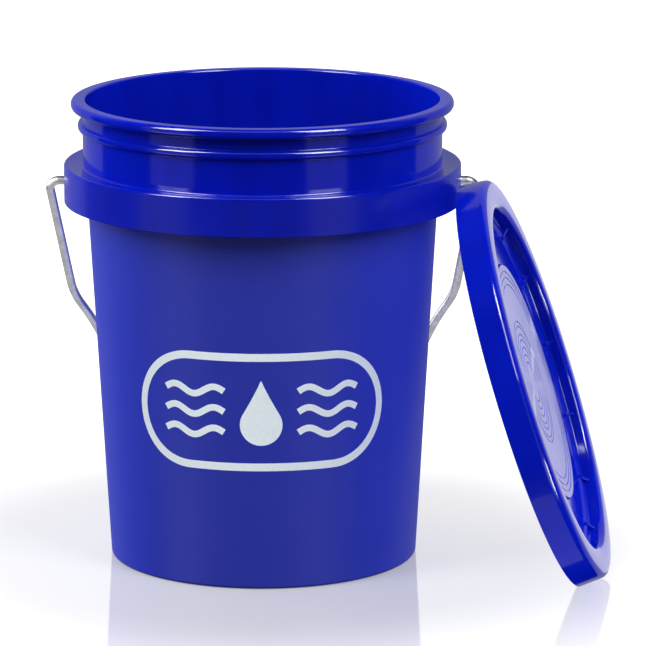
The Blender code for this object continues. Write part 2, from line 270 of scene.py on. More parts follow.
def mesh_from(name, vertices, faces):
    """A mesh whose faces point outwards."""
    mesh = bpy.data.meshes.new(name)
    mesh.from_pydata(vertices, [], faces)
    edited = bmesh.new()
    edited.from_mesh(mesh)
    bmesh.ops.recalc_face_normals(edited, faces=edited.faces)
    edited.to_mesh(mesh)
    edited.free()
    return mesh


def joined_rings(rings, closed):
    """Faces between neighbouring rings of vertex numbers. A ring of one number is a pole."""
    faces = []
    pairs = list(zip(rings, rings[1:]))
    if closed:
        pairs.append((rings[-1], rings[0]))
    for low, high in pairs:
        count = max(len(low), len(high))
        for k in range(count):
            j = (k + 1) % count
            corners = [low[k % len(low)], low[j % len(low)], high[j % len(high)], high[k % len(high)]]
            faces.append(list(dict.fromkeys(corners)))
    return faces


def turned(name, outline, steps, material):
    """A (radius, height) outline turned about Z. It is a closed loop unless it starts on the axis."""
    vertices, rings = [], []
    for radius, height in outline:
        count = steps if radius > 0 else 1
        rings.append(range(len(vertices), len(vertices) + count))
        for k in range(count):
            angle = 2 * pi * k / count
            vertices.append((radius * cos(angle), radius * sin(angle), height))
    return link(name, mesh_from(name, vertices, joined_rings(rings, outline[0][0] > 0)), material)


def tube(name, path, sides, material):
    """A tube along a path in the XZ plane, of (point, radius) pairs, with flat ends."""
    vertices, rings = [], []
    for i, (point, radius) in enumerate(path):
        before, after = path[max(i - 1, 0)][0], path[min(i + 1, len(path) - 1)][0]
        along = (after - before).normalized()
        side = along.cross(Vector((0, 1, 0)))
        rings.append(range(len(vertices), len(vertices) + sides))
        for k in range(sides):
            angle = 2 * pi * k / sides
            vertices.append(point + radius * (sin(angle) * side + cos(angle) * Vector((0, 1, 0))))
    faces = joined_rings(rings, False) + [list(rings[0]), list(rings[-1])]
    return link(name, mesh_from(name, vertices, faces), material)


def web(profile, thickness, edge):
    """A flat rib in the XZ plane from its (x, z) profile, with slightly bevelled edges."""
    count = len(profile)
    vertices = [(x, side * thickness / 2, z) for side in (-1, 1) for x, z in profile]
    faces = [list(range(count)), list(range(count, 2 * count))]
    faces += [[i, (i + 1) % count, (i + 1) % count + count, i + count] for i in range(count)]
    mesh = mesh_from("web", vertices, faces)
    edited = bmesh.new()
    edited.from_mesh(mesh)
    bmesh.ops.bevel(edited, geom=edited.edges[:], offset=edge, segments=2, affect="EDGES", profile=0.5)
    edited.to_mesh(mesh)
    edited.free()
    return mesh


def merged(name, meshes):
    """One helper object that holds several meshes which don't touch."""
    edited = bmesh.new()
    for mesh in meshes:
        edited.from_mesh(mesh)
    whole = bpy.data.meshes.new(name)
    edited.to_mesh(whole)
    edited.free()
    obj = bpy.data.objects.new(name, whole)
    bpy.context.scene.collection.objects.link(obj)
    return obj


def around(mesh, count, first):
    """Copies of a mesh, evenly spaced about Z."""
    copies = []
    for i in range(count):
        copy = mesh.copy()
        copy.transform(Matrix.Rotation(2 * pi * (i + first) / count, 4, "Z"))
        copies.append(copy)
    return copies


def rod(radius, start_x, end_x, height):
    """A closed cylinder along X at the given height."""
    middle = Matrix.Translation(((start_x + end_x) / 2, 0, height))
    edited = bmesh.new()
    bmesh.ops.create_cone(
        edited,
        cap_ends=True,
        segments=SMALL_TURN_STEPS,
        radius1=radius,
        radius2=radius,
        depth=abs(end_x - start_x),
        matrix=middle @ Matrix.Rotation(pi / 2, 4, "Y"),
    )
    mesh = bpy.data.meshes.new("rod")
    edited.to_mesh(mesh)
    edited.free()
    return mesh


def combine(obj, helper, operation):
    """Joins the helper to the object, or cuts it away, and removes the helper."""
    boolean = obj.modifiers.new(helper.name, "BOOLEAN")
    boolean.operation = operation
    boolean.solver = "MANIFOLD"
    boolean.object = helper
    apply_modifiers(obj)
    bpy.data.objects.remove(helper)


def apply_modifiers(obj):
    graph = bpy.context.evaluated_depsgraph_get()
    mesh = bpy.data.meshes.new_from_object(obj.evaluated_get(graph))
    obj.modifiers.clear()
    obj.data = mesh


def smooth(obj):
    """Smooth shading, with sharp edges kept and large faces kept flat."""
    for polygon in obj.data.polygons:
        polygon.use_smooth = True
    obj.data.set_sharp_from_angle(angle=radians(SHARP_DEG))
    weighted = obj.modifiers.new("weighted", "WEIGHTED_NORMAL")
    weighted.keep_sharp = True
    apply_modifiers(obj)


def settle(obj, matrix, body, slot, *nodes):
    """Smooths the piece, moves it to its place, and lets it stand for its CAD nodes."""
    smooth(obj)
    obj.data.transform(matrix)
    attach(obj, body)
    if nodes:
        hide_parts(*nodes)
    return obj


# ---- Pail -------------------------------------------------------------------------------------


def pail_radius(height):
    """The outer radius of the tapered wall."""
    return FOOT_RADIUS + TAPER * height


def pail_corners(height, skirt_radius):
    """The pail's section, from the middle of its floor up the inside, then down the outside."""
    floor = BASE_RECESS + BASE_THICKNESS
    rim_bottom = height - RIM_DEPTH
    flange_root = SKIRT_TOP - FLANGE_DISH
    under_flange = flange_root - SKIRT_WALL
    skirt_inside = skirt_radius - SKIRT_WALL
    foot_inside = FOOT_RADIUS - CORNER_ROUND - FOOT_WIDTH
    raised = BASE_RECESS + UNDER_RING_STEP
    gate = BASE_RECESS - GATE_HEIGHT
    inside = [
        (0.0, floor, 0),
        (pail_radius(floor) - WALL, floor, INNER_CORNER_ROUND),
        (pail_radius(SKIRT_BOTTOM) - WALL, SKIRT_BOTTOM, INNER_CORNER_ROUND),
        (MOUTH_RADIUS, under_flange - FLANGE_DISH, INNER_CORNER_ROUND),
        (MOUTH_RADIUS, height, MOUTH_ROUND),
    ]
    rim = [
        (RIM_RADIUS, height, RIM_ROUND),
        (RIM_RADIUS, rim_bottom, RIM_ROUND),
        (NECK_RADIUS, rim_bottom, ROOT_FILLET),
        (NECK_RADIUS, RING_MIDDLE + RING_DEPTH / 2, ROOT_FILLET),
        (RING_RADIUS, RING_MIDDLE + RING_DEPTH / 2, RING_ROUND),
        (RING_RADIUS, RING_MIDDLE - RING_DEPTH / 2, RING_ROUND),
        (NECK_RADIUS, RING_MIDDLE - RING_DEPTH / 2, ROOT_FILLET),
    ]
    skirt = [
        (NECK_RADIUS, flange_root, FLANGE_FILLET),
        (skirt_radius, SKIRT_TOP, SKIRT_ROUND),
        (skirt_radius, SKIRT_BOTTOM, EDGE_ROUND),
        (skirt_inside, SKIRT_BOTTOM, EDGE_ROUND),
        (skirt_inside, under_flange, ROOT_FILLET),
        (NECK_RADIUS, under_flange - FLANGE_DISH, ROOT_FILLET),
        (pail_radius(SKIRT_BOTTOM), SKIRT_BOTTOM, INNER_CORNER_ROUND),
    ]
    under = [
        (FOOT_RADIUS, 0.0, CORNER_ROUND),
        (foot_inside, 0.0, EDGE_ROUND),
        (foot_inside - BASE_RECESS, BASE_RECESS, ROOT_FILLET),
        (UNDER_RING_RADIUS, BASE_RECESS, EDGE_ROUND),
        (UNDER_RING_RADIUS - UNDER_RING_STEP, raised, EDGE_ROUND),
        (GATE_RADIUS + UNDER_RING_STEP, raised, EDGE_ROUND),
        (GATE_RADIUS, gate, EDGE_ROUND),
        (0.0, gate, 0),
    ]
    return inside + rim + skirt + under


def pail_webs(skirt_radius):
    """Thin radial webs between the pail's wall and its skirt."""
    bottom = SKIRT_BOTTOM + GUSSET_RISE
    top = SKIRT_TOP - FLANGE_DISH - SKIRT_WALL / 2
    outer = skirt_radius - SKIRT_WALL / 2
    profile = [(pail_radius(bottom) - WALL / 2, bottom), (outer, bottom), (outer, top)]
    profile += [(NECK_RADIUS - WALL / 2, top), (NECK_RADIUS - WALL / 2, top - GUSSET_RISE)]
    return merged("webs", around(web(profile, GUSSET_THICKNESS, EDGE_ROUND / 2), GUSSETS, 0.5))


def make_pail(place, height, skirt_radius, material):
    pail = turned("pail", rounded(pail_corners(height, skirt_radius)), TURN_STEPS, material)
    combine(pail, pail_webs(skirt_radius), "UNION")
    bosses, bores = [], []
    for side in (1, -1):
        outer = side * (skirt_radius - SKIRT_WALL / 2)
        bosses.append(rod(EAR_RADIUS, side * EAR_INNER_END, outer, EAR_HEIGHT))
        start, end = side * (EAR_INNER_END - CUT_MARGIN), side * (skirt_radius + CUT_MARGIN)
        bores.append(rod(EAR_BORE_RADIUS, start, end, EAR_HEIGHT))
    combine(pail, merged("bosses", bosses), "UNION")
    combine(pail, merged("bores", bores), "DIFFERENCE")
    return settle(pail, place, "pail", "pail_plastic", "bucket_body")


# ---- Bail and grip ----------------------------------------------------------------------------


def arc_points(centre, radius, start_deg, end_deg, steps):
    angles = [radians(start_deg + (end_deg - start_deg) * i / steps) for i in range(steps + 1)]
    return [centre + radius * Vector((cos(a), sin(a))) for a in angles]


def bezier(a, b, c, d, steps):
    """Points on a cubic curve, without its first point."""
    points = []
    for i in range(1, steps + 1):
        t = i / steps
        s = 1 - t
        points.append(a * s**3 + b * (3 * s * s * t) + c * (3 * s * t * t) + d * t**3)
    return points


def bail_half_path():
    """(half width, reach) along the wire, from the ear to the end of the straight under the grip."""
    bend_centre = Vector((SHOULDER_HALF_WIDTH - SHOULDER_BEND, SHOULDER_BEND))
    shoulder = arc_points(bend_centre, SHOULDER_BEND, -90, LEG_SLANT_DEG, 14)
    leg_start = shoulder[-1]
    leg_width = leg_start.x - (LEG_REACH - leg_start.y) * tan(radians(LEG_SLANT_DEG))
    leg_end = Vector((leg_width, LEG_REACH))
    leg = [leg_start.lerp(leg_end, i / 8) for i in range(1, 8)]
    slant = radians(LEG_SLANT_DEG)
    knee_centre = leg_end - KNEE_BEND * Vector((cos(slant), sin(slant)))
    knee = arc_points(knee_centre, KNEE_BEND, LEG_SLANT_DEG, KNEE_SLANT_DEG, 12)
    slant = radians(KNEE_SLANT_DEG)
    grip_end = Vector((STRAIGHT_HALF_LENGTH, BAIL_REACH))
    pull = LOOP_FULLNESS * (knee[-1] - grip_end).length
    towards_grip = knee[-1] + pull * Vector((-sin(slant), cos(slant)))
    outwards = grip_end + pull * Vector((1, 0))
    return shoulder + leg + knee + bezier(knee[-1], towards_grip, outwards, grip_end, 40)


def bail_head():
    """(distance from the pail's axis, radius) down the wire's upset head, with rounded rims."""
    outer = EAR_INNER_END - HEAD_CLEARANCE
    inner = outer - HEAD_THICKNESS
    corners = [
        (inner, HEAD_RADIUS / 2, 0),
        (inner, HEAD_RADIUS, HEAD_ROUND),
        (outer, HEAD_RADIUS, HEAD_ROUND),
        (outer, WIRE_RADIUS, 0),
        (outer + OVERLAP, WIRE_RADIUS, 0),
    ]
    head = rounded(corners)
    for i in range(1, len(head)):
        if head[i].x <= head[i - 1].x:
            head[i].x = head[i - 1].x + SLIVER
    return head


def make_bail(place, material):
    """The wire lies in the pivot's XZ plane and reaches down along -Z."""
    right = [(Vector((x, 0, 0)), radius) for x, radius in bail_head()]
    right += [(Vector((width, 0, -reach)), WIRE_RADIUS) for width, reach in bail_half_path()]
    left = [(Vector((-point.x, 0, point.z)), radius) for point, radius in reversed(right)]
    bail = tube("bail", right + left, TUBE_SIDES, material)
    return settle(bail, place, "bail", "bail_steel", "bail_wire")


def grip_corners():
    """A spool: plain ends, and shallow grooves between raised bands."""
    body_half = GRIP_HALF_LENGTH - GRIP_END_WIDTH
    pitch = 2 * body_half / GRIP_GROOVES
    groove = GRIP_RADIUS - GRIP_GROOVE_DEPTH
    corners = [
        (GRIP_BORE_RADIUS, GRIP_HALF_LENGTH - 2 * EDGE_ROUND, 0),
        (GRIP_BORE_RADIUS, GRIP_HALF_LENGTH, EDGE_ROUND),
        (GRIP_END_RADIUS, GRIP_HALF_LENGTH, 0.0012),
        (GRIP_END_RADIUS, body_half + 0.0005, 0.0008),
    ]
    for i in range(GRIP_GROOVES):
        top = body_half - i * pitch
        corners.append((groove, top - 0.10 * pitch, 0.0012))
        corners.append((GRIP_RADIUS, top - 0.30 * pitch, 0.0016))
        corners.append((GRIP_RADIUS, top - 0.70 * pitch, 0.0016))
        corners.append((groove, top - 0.90 * pitch, 0.0012))
    corners += [
        (GRIP_END_RADIUS, -body_half - 0.0005, 0.0008),
        (GRIP_END_RADIUS, -GRIP_HALF_LENGTH, 0.0012),
        (GRIP_BORE_RADIUS, -GRIP_HALF_LENGTH, EDGE_ROUND),
        (GRIP_BORE_RADIUS, 2 * EDGE_ROUND - GRIP_HALF_LENGTH, 0),
    ]
    return corners


def make_grip(place, material):
    grip = turned("grip", rounded(grip_corners()), SMALL_TURN_STEPS, material)
    return settle(grip, place, "grip", "grip_plastic", "bail_grip")


# ---- Lid and gasket ---------------------------------------------------------------------------


def dished(radius):
    """How far the disc's surface is below its edge."""
    share = min(radius / LID_DISC_RADIUS, 1)
    return LID_DISC_DISH * (1 - share * share)


def disc_points():
    """The dished disc's top, from its middle outwards, with its fine turned lines."""
    level = LID_FLOOR + LID_DISC_RISE
    points = [Vector((0, level - dished(0)))]
    for line in LID_LINE_RADII:
        for offset, depth in ((-0.5, 0), (-0.2, 1), (0.2, 1), (0.5, 0)):
            radius = line + offset * LID_LINE_WIDTH
            points.append(Vector((radius, level - dished(radius) - depth * LID_LINE_DEPTH)))
    return points


def lid_corners():
    """The lid's section from the disc's edge over the crown, round the channel that holds the
    pail's rim, and back under the panel."""
    disc = LID_FLOOR + LID_DISC_RISE
    step = LID_FLOOR + LID_STEP_RISE
    ceiling = LID_HEIGHT - LID_WALL
    snap_outer = SNAP_INNER_RADIUS + SNAP_WALL
    snap_end = ceiling - SNAP_DEPTH
    plug_outer = LID_RECESS_RADIUS + LID_WALL
    underside = LID_FLOOR - LID_FLOOR_THICKNESS
    under_disc = LID_DISC_RADIUS - LID_FLOOR_THICKNESS
    last_line = LID_LINE_RADII[-1] + LID_LINE_WIDTH
    top = [
        (last_line, disc - dished(last_line), 0),
        (LID_DISC_RADIUS - LID_DISC_RISE / 2, disc, EDGE_ROUND),
        (LID_DISC_RADIUS, LID_FLOOR, EDGE_ROUND),
        (LID_STEP_RADIUS, LID_FLOOR, ROOT_FILLET),
        (LID_STEP_RADIUS + LID_STEP_RISE, step, EDGE_ROUND),
        (LID_RECESS_RADIUS, step, 2 * ROOT_FILLET),
        (LID_RECESS_RADIUS, LID_HEIGHT - CROWN_FALL, LID_RECESS_ROUND),
        ((LID_RECESS_RADIUS + LID_CROWN_RADIUS) / 2, LID_HEIGHT, CROWN_SWEEP),
        (LID_CROWN_RADIUS, LID_HEIGHT - CROWN_FALL, LID_CROWN_ROUND),
    ]
    channel = [
        (LID_EDGE_RADIUS, 0.0, EDGE_ROUND),
        (LID_EDGE_RADIUS - LID_WALL, 0.0, EDGE_ROUND),
        (LID_CROWN_RADIUS - LID_WALL, ceiling, LID_CROWN_ROUND - LID_WALL),
        (snap_outer, ceiling, ROOT_FILLET),
        (snap_outer, snap_end, EDGE_ROUND),
        (SNAP_INNER_RADIUS, snap_end, EDGE_ROUND / 2),
        (SNAP_INNER_RADIUS - SNAP_BEAD, snap_end + SNAP_BEAD, EDGE_ROUND),
        (SNAP_INNER_RADIUS, snap_end + 2 * SNAP_BEAD, EDGE_ROUND / 2),
        (SNAP_INNER_RADIUS, ceiling, EDGE_ROUND),
        (plug_outer, ceiling, EDGE_ROUND),
        (plug_outer, underside, 2 * ROOT_FILLET),
    ]
    under = [
        (under_disc, underside, EDGE_ROUND),
        (under_disc - LID_DISC_RISE, underside + LID_DISC_RISE, EDGE_ROUND),
    ]
    for share in (0.85, 0.7, 0.5, 0.3, 0.15, 0.0):
        radius = share * LID_DISC_RADIUS
        under.append((radius, underside + LID_DISC_RISE - dished(radius), 0))
    return top + channel + under


def lid_webs():
    """Small wedges at the foot of the recess wall, with a hollow slope."""
    foot = LID_RECESS_RADIUS - LID_GUSSET_RUN
    back = LID_RECESS_RADIUS + LID_WALL / 2
    low = LID_FLOOR - OVERLAP
    step = LID_FLOOR + LID_STEP_RISE
    peak = LID_FLOOR + LID_GUSSET_RISE
    hollow = (foot + 0.45 * LID_GUSSET_RUN, step + 0.0012, 0.004)
    corners = [(foot, low, 0), (foot, step, EDGE_ROUND), hollow]
    corners += [(LID_RECESS_RADIUS, peak, 0.0003), (back, peak, 0), (back, low, 0)]
    rib = web([tuple(point) for point in rounded(corners)], LID_GUSSET_THICKNESS, EDGE_ROUND / 2)
    return merged("wedges", around(rib, LID_GUSSETS, 0.5))


def make_lid(place, material):
    outline = disc_points() + rounded(lid_corners())
    lid = turned("lid_snap", outline, TURN_STEPS, material)
    combine(lid, lid_webs(), "UNION")
    return settle(lid, place, "lid", "lid_plastic", "lid")


def make_gasket(place, material):
    """A soft ring against the channel's ceiling, between the plug wall and the snap wall."""
    inner = LID_RECESS_RADIUS + LID_WALL + 2 * GASKET_GAP
    outer = SNAP_INNER_RADIUS - 2 * GASKET_GAP
    top = LID_HEIGHT - LID_WALL - GASKET_GAP
    bottom = top - GASKET_THICKNESS
    middle = (inner + outer) / 2
    corners = [
        (middle, top, 0),
        (outer, top, ROOT_FILLET),
        (outer, bottom, ROOT_FILLET),
        (middle + 0.002, bottom, EDGE_ROUND),
        (middle + 0.0012, bottom + 0.0008, EDGE_ROUND),
        (middle - 0.0012, bottom + 0.0008, EDGE_ROUND),
        (middle - 0.002, bottom, EDGE_ROUND),
        (inner, bottom, ROOT_FILLET),
        (inner, top, ROOT_FILLET),
        (middle - OVERLAP, top, 0),
    ]
    gasket = turned("gasket", rounded(corners), TURN_STEPS, material)
    return settle(gasket, place, "lid", "gasket_rubber", "lid_gasket")


def lid_matrix():
    """The lid's own axis points out of its face. It stands on the lowest point of its edge."""
    tilt = radians(LID_TILT_DEG)
    centre = Matrix.Translation((LID_CENTRE_X, LID_CENTRE_Y, LID_EDGE_RADIUS * cos(tilt)))
    turn = Matrix.Rotation(radians(LID_TURN_DEG), 4, "Z")
    return centre @ turn @ Matrix.Rotation(pi / 2 - tilt, 4, "Y")


# ---- Emblem -----------------------------------------------------------------------------------


def on_wall(across, up, rise):
    """A point of the print, wrapped on the front of the tapered wall."""
    height = EMBLEM_HEIGHT + up
    radius = pail_radius(height)
    angle = across / radius - pi / 2
    reach = radius + rise
    return Vector((reach * cos(angle), reach * sin(angle), height))


def print_patch(rows, closed):
    """A thin closed mesh on the wall from rows of (across, up) points. The rows may form a loop."""
    width = len(rows[0])
    vertices = [on_wall(across, up, INK_RISE) for row in rows for across, up in row]
    top = len(vertices)
    vertices += [on_wall(across, up, -INK_DEPTH) for row in rows for across, up in row]
    faces = []
    for i in range(len(rows) if closed else len(rows) - 1):
        a, b = i * width, (i + 1) % len(rows) * width
        for k in range(width - 1):
            faces.append([a + k, a + k + 1, b + k + 1, b + k])
            faces.append([top + a + k, top + b + k, top + b + k + 1, top + a + k + 1])
        for k in (0, width - 1):
            faces.append([a + k, b + k, top + b + k, top + a + k])
    if not closed:
        for a in (0, (len(rows) - 1) * width):
            for k in range(width - 1):
                faces.append([a + k, a + k + 1, top + a + k + 1, top + a + k])
    return mesh_from("print", vertices, faces)


def stroke_rows(path, width, closed):
    """Rows across a line of (across, up) points, for a stroke of even width."""
    rows = []
    for i, point in enumerate(path):
        before = path[i - 1] if closed or i else point
        after = path[(i + 1) % len(path)] if closed or i < len(path) - 1 else point
        along = (after - before).normalized()
        side = Vector((-along.y, along.x)) * width / 2
        rows.append([point - side, point, point + side])
    return rows


def oval_path():
    """A stretched oval: two half circles joined by straights."""
    reach = EMBLEM_HALF_WIDTH - EMBLEM_HALF_HEIGHT
    path = []
    for side, start in ((1, -90), (-1, 90)):
        path += arc_points(Vector((side * reach, 0)), EMBLEM_HALF_HEIGHT, start, start + 180, 40)
        straight_start, straight_end = path[-1], Vector((-side * reach, path[-1].y))
        path += [straight_start.lerp(straight_end, i / 30) for i in range(1, 30)]
    return path


def drop_rows():
    """A water drop, from its round foot to its tip."""
    centre = DROP_RADIUS - DROP_HALF_HEIGHT
    tip = DROP_HALF_HEIGHT
    tangent = pi / 2 - sqrt(1 - (DROP_RADIUS / (tip - centre)) ** 2)
    rows = []
    for i in range(1, 25):
        angle = -pi / 2 + (tangent - -pi / 2) * i / 25
        rows.append((DROP_RADIUS * cos(angle), centre + DROP_RADIUS * sin(angle)))
    shoulder_half, shoulder_up = rows[-1]
    for i in range(1, 20):
        t = i / 20
        rows.append((shoulder_half * (1 - t) ** 1.15, shoulder_up + (tip - shoulder_up) * t))
    return [[Vector((half * (k / 5 - 1), up)) for k in range(11)] for half, up in rows]


def wave_path(side, up):
    """One gentle wave beside the drop."""
    path = []
    for i in range(37):
        t = i / 36
        across = WAVE_START + (WAVE_END - WAVE_START) * t
        path.append(Vector((side * across, up + WAVE_RISE * sin(2 * pi * 1.5 * t))))
    return path


def make_emblem(place, material):
    patches = [print_patch(stroke_rows(oval_path(), EMBLEM_STROKE, True), True)]
    patches.append(print_patch(drop_rows(), False))
    for side in (1, -1):
        for level in (-1, 0, 1):
            path = wave_path(side, level * WAVE_PITCH)
            patches.append(print_patch(stroke_rows(path, WAVE_STROKE, False), False))
    emblem = merged("emblem", patches)
    emblem.data.materials.append(material)
    return settle(emblem, place, "pail", None)


# ---- Materials --------------------------------------------------------------------------------


class Shader:
    """A Principled material that reads its own object's coordinates."""

    def __init__(self, name):
        self.material = bpy.data.materials.new(name)
        self.material.use_nodes = True
        self.tree = self.material.node_tree
        self.main = self.tree.nodes["Principled BSDF"]
        self.coordinates = self.node("ShaderNodeTexCoord").outputs["Object"]

    def node(self, kind, **settings):
        made = self.tree.nodes.new(kind)
        for key, value in settings.items():
            setattr(made, key, value)
        return made

    def join(self, source, target):
        self.tree.links.new(source, target)

    def noise(self, scale, detail=3.0, stretch=(1.0, 1.0, 1.0)):
        """Noise with a scale in features per metre, stretched along the axes."""
        mapping = self.node("ShaderNodeMapping")
        mapping.inputs["Scale"].default_value = stretch
        self.join(self.coordinates, mapping.inputs["Vector"])
        noise = self.node("ShaderNodeTexNoise")
        noise.inputs["Scale"].default_value = scale
        noise.inputs["Detail"].default_value = detail
        self.join(mapping.outputs["Vector"], noise.inputs["Vector"])
        return noise.outputs["Fac"]

    def mapped(self, source, low, high, to_low, to_high):
        node = self.node("ShaderNodeMapRange")
        values = {"From Min": low, "From Max": high, "To Min": to_low, "To Max": to_high}
        for key, value in values.items():
            node.inputs[key].default_value = value
        self.join(source, node.inputs["Value"])
        return node.outputs["Result"]

    def math(self, operation, first, second):
        node = self.node("ShaderNodeMath", operation=operation)
        for socket, value in zip(node.inputs, (first, second)):
            if isinstance(value, (int, float)):
                socket.default_value = value
            else:
                self.join(value, socket)
        return node.outputs[0]

    def blend(self, factor, first, second):
        node = self.node("ShaderNodeMix", data_type="RGBA")
        self.join(factor, node.inputs[0])
        for socket, colour in zip((node.inputs[6], node.inputs[7]), (first, second)):
            if isinstance(colour, tuple):
                socket.default_value = (*colour, 1.0)
            else:
                self.join(colour, socket)
        return node.outputs[2]

    def height(self):
        """Height in the row frame at rest."""
        split = self.node("ShaderNodeSeparateXYZ")
        self.join(self.coordinates, split.inputs[0])
        return split.outputs["Z"]

    def bump(self, layers):
        """Stacked bumps from (height source, distance in metres) pairs."""
        normal = None
        for source, distance in layers:
            node = self.node("ShaderNodeBump")
            node.inputs["Distance"].default_value = distance
            self.join(source, node.inputs["Height"])
            if normal:
                self.join(normal, node.inputs["Normal"])
            normal = node.outputs["Normal"]
        self.join(normal, self.main.inputs["Normal"])


BLUE = (0.0010, 0.0072, 0.370)
DEEP_BLUE = (0.0008, 0.0055, 0.310)
# The wall's blue with a painted sheen: paler and greyer, standing in for the haze its satin surface
# reflects.
SATIN_BLUE_PAINTED_SHEEN = (0.0105, 0.0225, 0.380)
WALL_ROUGHNESS = 0.45
SKIRT_ROUGHNESS = 0.24
NECK_ROUGHNESS = 0.11
LID_ROUGHNESS = 0.10
GRIP_ROUGHNESS = 0.30
# Heights where the pail's gloss changes, and the gain in roughness below each.
SATIN_STEPS = (
    (SKIRT_BOTTOM, WALL_ROUGHNESS - SKIRT_ROUGHNESS),
    (SKIRT_TOP - SKIRT_ROUND, SKIRT_ROUGHNESS - NECK_ROUGHNESS),
)
STEP_BLEND = 0.0005


def moulded_plastic(name, colour, deep, gloss, satin_steps=()):
    """Moulded polyethylene: a slight unevenness of colour and gloss, and fine orange peel. Below
    each height in satin_steps it is rougher by the amount beside it. Below the lowest it has a
    paler, greyer blue that is a painted sheen, standing in for the haze its satin surface reflects."""
    shader = Shader(name)
    cloud = shader.noise(9.0, 2.0)
    flow = shader.noise(7.0, 2.0, (6.0, 6.0, 0.5))
    tint = shader.mapped(shader.math("ADD", cloud, flow), 0.8, 1.2, 0.0, 1.0)
    base = shader.blend(tint, deep, colour)
    rough = shader.mapped(shader.noise(55.0, 4.0), 0.3, 0.7, gloss - 0.02, gloss + 0.02)
    for height, gain in satin_steps:
        step = shader.mapped(shader.height(), height - STEP_BLEND, height, gain, 0.0)
        rough = shader.math("ADD", rough, step)
    if satin_steps:
        lowest = satin_steps[0][0]
        # Painted sheen: below the lowest step the wall takes the paler, greyer blue.
        painted_sheen_mask = shader.mapped(shader.height(), lowest - STEP_BLEND, lowest, 1.0, 0.0)
        base = shader.blend(painted_sheen_mask, base, SATIN_BLUE_PAINTED_SHEEN)
    shader.join(base, shader.main.inputs["Base Color"])
    shader.join(rough, shader.main.inputs["Roughness"])
    shader.main.inputs["IOR"].default_value = 1.5
    shader.bump([(shader.noise(420.0, 2.0), 0.000012), (shader.noise(1500.0, 2.0), 0.000004)])
    return shader.material


def galvanised_steel():
    """Drawn, galvanised wire: grey, softly mottled, with fine scratches."""
    shader = Shader("galvanised_wire")
    mottle = shader.mapped(shader.noise(160.0, 4.0), 0.35, 0.65, 0.0, 1.0)
    colour = shader.blend(mottle, (0.58, 0.58, 0.57), (0.74, 0.74, 0.72))
    shader.join(colour, shader.main.inputs["Base Color"])
    shader.main.inputs["Metallic"].default_value = 1.0
    rough = shader.mapped(shader.noise(420.0, 4.0), 0.3, 0.7, 0.32, 0.46)
    shader.join(rough, shader.main.inputs["Roughness"])
    shader.bump([(shader.noise(900.0, 3.0), 0.00002), (shader.noise(2600.0, 2.0), 0.00001)])
    return shader.material


def soft_rubber():
    """Black foamed rubber, with a little dust."""
    shader = Shader("soft_rubber")
    dust = shader.mapped(shader.noise(240.0, 5.0), 0.35, 0.75, 0.0, 1.0)
    colour = shader.blend(dust, (0.016, 0.016, 0.018), (0.040, 0.040, 0.044))
    shader.join(colour, shader.main.inputs["Base Color"])
    rough = shader.mapped(shader.noise(90.0), 0.3, 0.7, 0.60, 0.78)
    shader.join(rough, shader.main.inputs["Roughness"])
    shader.bump([(shader.noise(1300.0), 0.00003)])
    return shader.material


def printed_ink():
    """Screen-printed white ink: slightly uneven cover and a fine mesh grain."""
    shader = Shader("printed_white")
    cover = shader.mapped(shader.noise(520.0, 4.0), 0.40, 0.75, 0.0, 1.0)
    colour = shader.blend(cover, (0.86, 0.95, 0.99), (0.78, 0.89, 0.97))
    shader.join(colour, shader.main.inputs["Base Color"])
    rough = shader.mapped(shader.noise(200.0), 0.3, 0.7, 0.34, 0.46)
    shader.join(rough, shader.main.inputs["Roughness"])
    shader.bump([(shader.noise(1800.0, 2.0), 0.00001)])
    return shader.material


# ---- Studio -----------------------------------------------------------------------------------


def heading(azimuth_deg):
    """A level direction: 0 is towards the camera, 90 to its right-hand side of the pail."""
    return Vector((sin(radians(azimuth_deg)), -cos(radians(azimuth_deg)), 0))


def only_reflected(obj):
    """The object is seen in reflections, and neither by the camera nor as a light."""
    obj.visible_camera = False
    obj.visible_diffuse = False
    obj.visible_shadow = False
    obj.visible_transmission = False
    obj.visible_volume_scatter = False


def glow_material(name, radiance):
    material = bpy.data.materials.new(name)
    material.use_nodes = True
    nodes = material.node_tree.nodes
    nodes.clear()
    output = nodes.new("ShaderNodeOutputMaterial")
    emission = nodes.new("ShaderNodeEmission")
    emission.inputs["Strength"].default_value = radiance
    material.node_tree.links.new(emission.outputs[0], output.inputs["Surface"])
    return material


def reflector(name, centre, radius, azimuths, heights, radiance):
    """An upright curved card round the object, which only its reflections show."""
    vertices, faces = [], []
    for i in range(CARD_STEPS + 1):
        azimuth = azimuths[0] + (azimuths[1] - azimuths[0]) * i / CARD_STEPS
        for height in heights:
            vertices.append(centre + radius * heading(azimuth) + Vector((0, 0, height)))
        if i:
            faces.append([2 * i - 2, 2 * i, 2 * i + 1, 2 * i - 1])
    mesh = bpy.data.meshes.new(name)
    mesh.from_pydata(vertices, [], faces)
    card = link(name, mesh, glow_material(name, radiance))
    only_reflected(card)


def soft_light(name, place, target, size, radiance, diffuse=True, glossy=True):
    """A rectangular soft light, by the brightness of its face. It may light surfaces without
    showing in their gloss, or show in their gloss without lighting them."""
    light = bpy.data.lights.new(name, "AREA")
    light.shape = "RECTANGLE"
    light.size, light.size_y = size
    light.energy = radiance * pi * size[0] * size[1]
    obj = bpy.data.objects.new(name, light)
    bpy.context.scene.collection.objects.link(obj)
    obj.location = place
    obj.rotation_euler = (target - place).to_track_quat("-Z", "Y").to_euler()
    obj.visible_camera = False
    obj.visible_diffuse = diffuse
    obj.visible_glossy = glossy
    return obj


